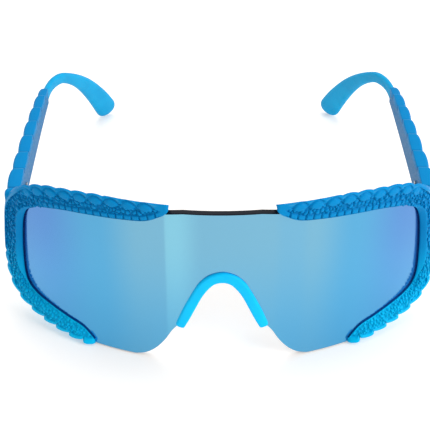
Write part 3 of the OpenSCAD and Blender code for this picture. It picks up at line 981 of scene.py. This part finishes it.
BEVEL = 0.28
LENS_TOP = [(0, 60.2), (12, 60.2), (17, 59.6)]      # its upper edge between the rims' tips
LENS_HELD = slice(2, 18)            # the rim's pairs that the lens's edge follows
LENS_IN_RIM = 0.72                  # the lens's edge inside the rim, as a share of its width
LENS_IN_SADDLE = 0.3
# The lower edge from the rim's end to the nose notch, and the curve up to the saddle
LENS_BOTTOM = [(45, 0.9), (42.5, 0)]
LENS_SWEEP = [(28.6, 0), (25.3, 1.2), (22, 3.8), (18.8, 8), (16.4, 12.4)]
COLUMNS = 180                       # columns of points on each side of the middle
EVEN_SHARE = 0.8                    # the share of them that is evenly spaced
ROWS = 40


def densify(points, steps):
    """The smooth curve through points, with steps between each two."""
    line = [spline(points, i, k / steps) for i in range(len(points) - 1) for k in range(steps)]
    return line + [points[-1]]


def across(pairs, t):
    """A line along a band, at t of the way from its outer edge to its inner edge."""
    return [Vector(o).lerp(Vector(i), t) for o, i in pairs]


def lens_chains():
    """The upper and the lower half of the lens's outline, each with X rising from the middle."""
    edge = densify(across(RIM_PAIRS, LENS_IN_RIM)[LENS_HELD], 6)
    widest = max(range(len(edge)), key=lambda k: edge[k].x)
    upper = [Vector(p) for p in LENS_TOP] + edge[:widest + 1]
    notch = across(SADDLE_PAIRS, LENS_IN_SADDLE)
    lower = edge[widest:] + [Vector(p) for p in LENS_BOTTOM]
    lower += densify([Vector(p) for p in LENS_SWEEP] + [notch[0]], 4)
    lower += densify(notch, 4)[1:]
    return upper, list(reversed(lower))


def height_at(chain, x):
    """The chain's height at x."""
    xs = [p.x for p in chain]
    k = min(len(chain) - 1, max(1, bisect.bisect_left(xs, x)))
    a = chain[k - 1]
    b = chain[k]
    if b.x - a.x < 1e-6:
        return b.y
    return lerp(a.y, b.y, min(1.0, max(0.0, (x - a.x) / (b.x - a.x))))


def column_x(c, reach):
    """X of column c: evenly spaced in the middle, and closer together towards each end."""
    even = COLUMNS * EVEN_SHARE
    if abs(c) > even:
        return reach * math.sin(math.pi / 2 * c / COLUMNS)
    edge_x = reach * math.sin(math.pi / 2 * EVEN_SHARE)
    return edge_x * c / even


def lens_column(x, low, high):
    """One section of the lens: down the mirror, round the lower edge, up the back and over."""
    ring = []
    for k in range(ROWS + 1):
        z = lerp(high - BEVEL, low + BEVEL, k / ROWS)
        ring.append(wrap(Vector((x, z)), LENS_R))
    ring.append(wrap(Vector((x, low)), LENS_R - BEVEL))
    ring.append(wrap(Vector((x, low)), LENS_BACK_R))
    for k in range(1, 4):
        ring.append(wrap(Vector((x, lerp(low, high, k / 4))), LENS_BACK_R))
    ring.append(wrap(Vector((x, high)), LENS_BACK_R))
    ring.append(wrap(Vector((x, high)), LENS_R - BEVEL))
    return ring


def lens_shell():
    """The lens. Its materials are the mirror, the back, the cut edges and the lower bevel."""
    upper, lower = lens_chains()
    reach = upper[-1].x - 0.02
    rings = []
    for c in range(-COLUMNS, COLUMNS + 1):
        x = column_x(c, reach)
        rings.append(lens_column(x, height_at(lower, abs(x)), height_at(upper, abs(x))))
    material = [0] * ROWS + [3, 2] + [1] * 4 + [2, 2]
    shell = Shell()
    shell.tube(rings, material=material)
    return shell


# ---------------------------------------------------------------- build

def on_frame(thing, body, slot, *nodes):
    """Puts a piece on its body, in the place of the CAD nodes."""
    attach(thing, body)
    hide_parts(*nodes)


LENS_CREASE = 25                    # degrees
SCALE_CREASE = 50


def build_front():
    materials = [MIRROR, SMOKE, LENS_EDGE, LENS_BEVEL]
    lens = lens_shell().make("shield_lens", 1, materials, LENS_CREASE)
    on_frame(lens, "front", "mirror_lens", "lens")
    saddle = saddle_shell().make("saddle", 1, [SADDLE_RUBBER])
    on_frame(saddle, "front", "saddle_rubber", "nose_saddle")
    shell = rim_shell()
    for side, sign in SIDES.items():
        rim = shell.make("scaled_rim_" + side, sign, [RIM_PAINT, RIM_WALL_SHADE])
        on_frame(rim, "front", "rim_plastic", "rim_" + side)


def build_temples():
    cover = scale_cover_shell()
    tip = tip_shell()
    for side, sign in SIDES.items():
        body = "temple_" + side
        scutes = cover.make("overlapping_scales_" + side, sign, [SCALE_PAINT], SCALE_CREASE)
        on_frame(scutes, body, "scale_plastic", "scale_cover_" + side)
        hook = tip.make("hooked_tip_" + side, sign, [TIP_RUBBER])
        on_frame(hook, body, "tip_rubber", "ear_tip_" + side)


ARM_EDGE = 0.25                     # rounding of the arms' edges
STEEL_EDGE = 0.06
SHARP_ANGLE = 40                    # degrees: edges sharper than this are rounded
STEEL_PARTS = [
    "front_leaf_", "rear_leaf_", "front_leaf_screws_", "rear_leaf_screws_", "hinge_pin_",
]


def soften(thing, width, material):
    """Gives a CAD node fine rounded edges and a finished material."""
    edges = thing.modifiers.new("edges", "BEVEL")
    edges.width = width * MM
    edges.segments = 2
    edges.limit_method = "ANGLE"
    edges.angle_limit = math.radians(SHARP_ANGLE)
    thing.data.materials.clear()
    thing.data.materials.append(material)


def finish_cad_nodes():
    for side in SIDES:
        soften(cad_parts["arm_" + side], ARM_EDGE, ARM_PAINT)
        for part in STEEL_PARTS:
            soften(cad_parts[part + side], STEEL_EDGE, STEEL)


# ---------------------------------------------------------------- stage, light and camera

FLOOR_SIZE = 6
FLOOR_Z = -0.0002                   # just under the feet
FLOOR_COLOR = (0.82, 0.78, 0.745, 1)
FLOOR_GLOW = 0.31                   # keeps the shadows pale
WORLD_STRENGTH = 0.62
FOCAL_LENGTH = 93.77                # millimetres, for a sensor of SENSOR_WIDTH
SENSOR_WIDTH = 36
CLIP_START = 0.01
CAMERA_X = -0.0041
CAMERA_DISTANCE = 0.27045           # in front of the rims
CAMERA_HEIGHT = 0.25794
CAMERA_DOWN = 36                    # degrees below level
CAMERA_TURN = -0.38                 # degrees


def build_floor():
    bpy.ops.mesh.primitive_plane_add(size=FLOOR_SIZE, location=(0, 0, FLOOR_Z))
    floor = bpy.context.object
    floor.name = "floor"
    m, nodes, links, shader = new_material("floor_paper")
    shader.inputs["Base Color"].default_value = FLOOR_COLOR
    shader.inputs["Roughness"].default_value = 0.9
    shader.inputs["Emission Color"].default_value = (1, 1, 1, 1)
    shader.inputs["Emission Strength"].default_value = FLOOR_GLOW
    floor.data.materials.append(m)


def add_area(name, place, aim, size, power):
    """A round soft light at place that points at aim."""
    light = bpy.data.lights.new(name, "AREA")
    light.shape = "DISK"
    light.size = size
    light.energy = power
    lamp = bpy.data.objects.new(name, light)
    lamp.location = place
    lamp.rotation_euler = (Vector(aim) - Vector(place)).to_track_quat("-Z", "Y").to_euler()
    bpy.context.scene.collection.objects.link(lamp)


def build_light():
    world = bpy.data.worlds.new("studio")
    bpy.context.scene.world = world
    world.use_nodes = True
    back = world.node_tree.nodes["Background"]
    back.inputs["Color"].default_value = (1, 1, 1, 1)
    back.inputs["Strength"].default_value = WORLD_STRENGTH
    add_area("top_soft", place=(0.0, 0.25, 1.1), aim=(0, 0, 0), size=1.0, power=6)
    add_area("front_soft", place=(0.95, -0.55, 0.6), aim=(0, 0, 0.02), size=0.7, power=8)


def build_camera():
    camera = bpy.data.cameras.new("photo_view")
    camera.sensor_width = SENSOR_WIDTH
    camera.lens = FOCAL_LENGTH
    camera.clip_start = CLIP_START
    view = bpy.data.objects.new("photo_view", camera)
    view.location = (CAMERA_X, FRONT_Y * MM - CAMERA_DISTANCE, CAMERA_HEIGHT)
    view.rotation_euler = (math.radians(90 - CAMERA_DOWN), 0, math.radians(CAMERA_TURN))
    bpy.context.scene.collection.objects.link(view)
    bpy.context.scene.camera = view
    bpy.context.scene.view_settings.view_transform = "Standard"


build_camera()
build_floor()
build_light()
build_front()
build_temples()
finish_cad_nodes()
